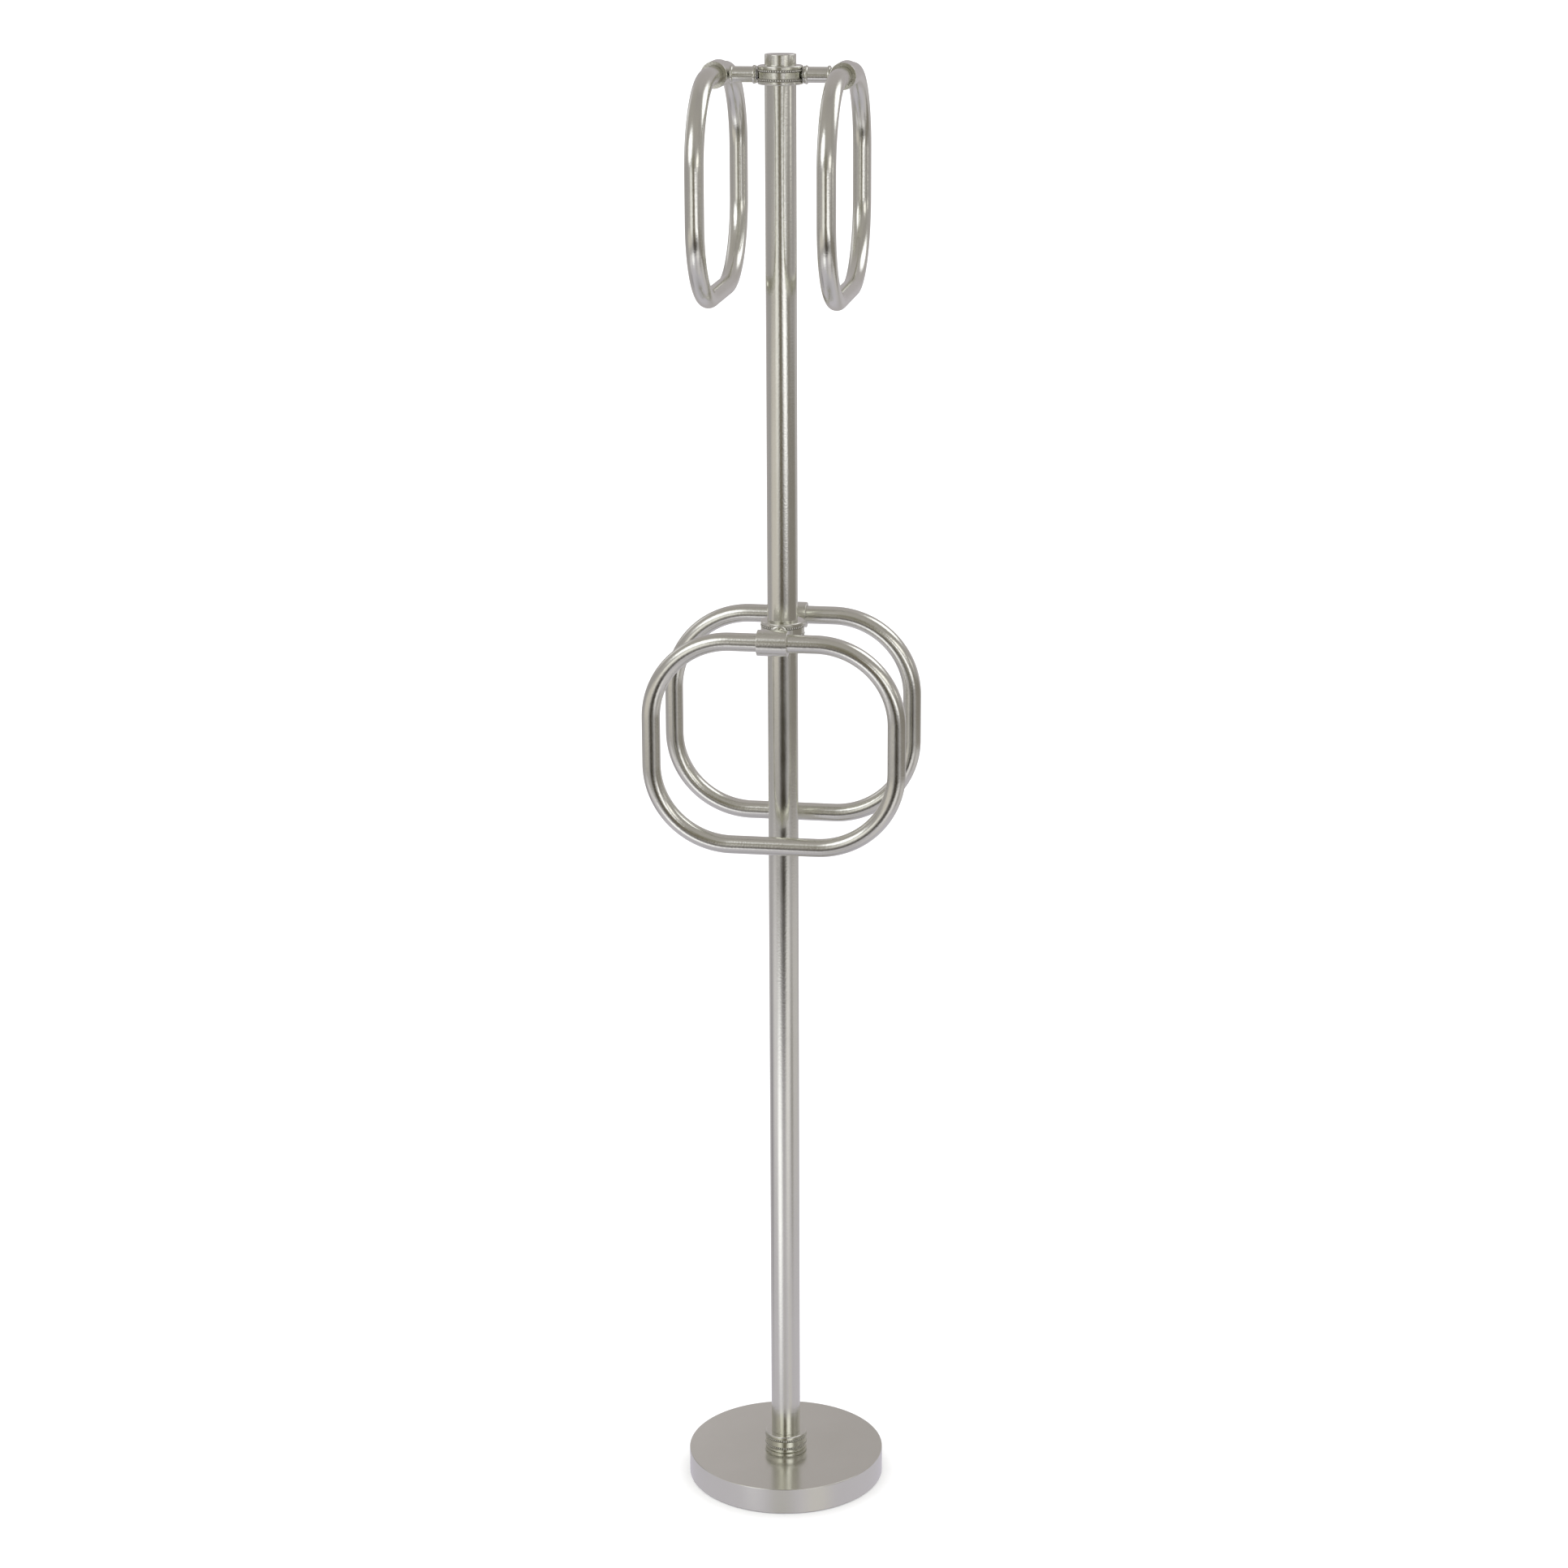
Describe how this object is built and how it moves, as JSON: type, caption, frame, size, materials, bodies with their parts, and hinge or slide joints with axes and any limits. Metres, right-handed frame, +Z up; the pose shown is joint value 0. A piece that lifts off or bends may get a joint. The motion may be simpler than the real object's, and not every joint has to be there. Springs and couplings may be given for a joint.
{
  "type": "towel ring stand",
  "caption": "Free-standing ring stand: weighted round base, upright pole, beaded hubs, and rounded-square rings that swing on short arms at two heights.",
  "frame": {"origin": "centre of the underside of the foot pad, on the pole's axis", "axes": "+Z up along the pole, +X towards the right arm of the top pair, -Y towards the front arm of the lower pair"},
  "size_m": [0.221, 0.221, 1.2446],
  "materials": {
    "satin_nickel": "satin nickel plate on brass, fine brushed",
    "cast_iron": "raw casting",
    "zinc_steel": "zinc plated",
    "rubber": "matte"
  },
  "bodies": {
    "stand": {"foot_pad": "rubber", "base_cover": "satin_nickel", "base_weight": "cast_iron", "base_bolt": "zinc_steel", "base_washer": "zinc_steel", "base_collar": "satin_nickel", "lower_tube": "satin_nickel", "lower_tube_foot_insert": "zinc_steel", "lower_tube_head_insert": "zinc_steel", "upper_tube": "satin_nickel", "upper_tube_foot_insert": "zinc_steel", "upper_tube_head_insert": "zinc_steel", "mid_hub": "satin_nickel", "mid_stud": "zinc_steel", "top_hub": "satin_nickel", "top_stud": "zinc_steel", "top_cap": "satin_nickel", "arm_post_right": "satin_nickel", "arm_stud_right": "zinc_steel", "ring_holder_right": "satin_nickel", "arm_post_back": "satin_nickel", "arm_stud_back": "zinc_steel", "ring_holder_back": "satin_nickel", "arm_post_left": "satin_nickel", "arm_stud_left": "zinc_steel", "ring_holder_left": "satin_nickel", "arm_post_front": "satin_nickel", "arm_stud_front": "zinc_steel", "ring_holder_front": "satin_nickel"},
    "right_ring": {"towel_ring_right": "satin_nickel", "ring_joint_pin_right": "zinc_steel"},
    "back_ring": {"towel_ring_back": "satin_nickel", "ring_joint_pin_back": "zinc_steel"},
    "left_ring": {"towel_ring_left": "satin_nickel", "ring_joint_pin_left": "zinc_steel"},
    "front_ring": {"towel_ring_front": "satin_nickel", "ring_joint_pin_front": "zinc_steel"}
  },
  "joints": [
    {"name": "right_ring_swing", "type": "hinge", "parent": "stand", "child": "right_ring", "pos_m": [0.052, 0, 1.2283], "axis": [0, -1, 0], "range_deg": [-10, 190]},
    {"name": "back_ring_swing", "type": "hinge", "parent": "stand", "child": "back_ring", "pos_m": [0, 0.052, 0.7743], "axis": [1, 0, 0], "range_deg": [-10, 190]},
    {"name": "left_ring_swing", "type": "hinge", "parent": "stand", "child": "left_ring", "pos_m": [-0.052, 0, 1.2283], "axis": [0, 1, 0], "range_deg": [-10, 190]},
    {"name": "front_ring_swing", "type": "hinge", "parent": "stand", "child": "front_ring", "pos_m": [0, -0.052, 0.7743], "axis": [-1, 0, 0], "range_deg": [-10, 190]}
  ]
}
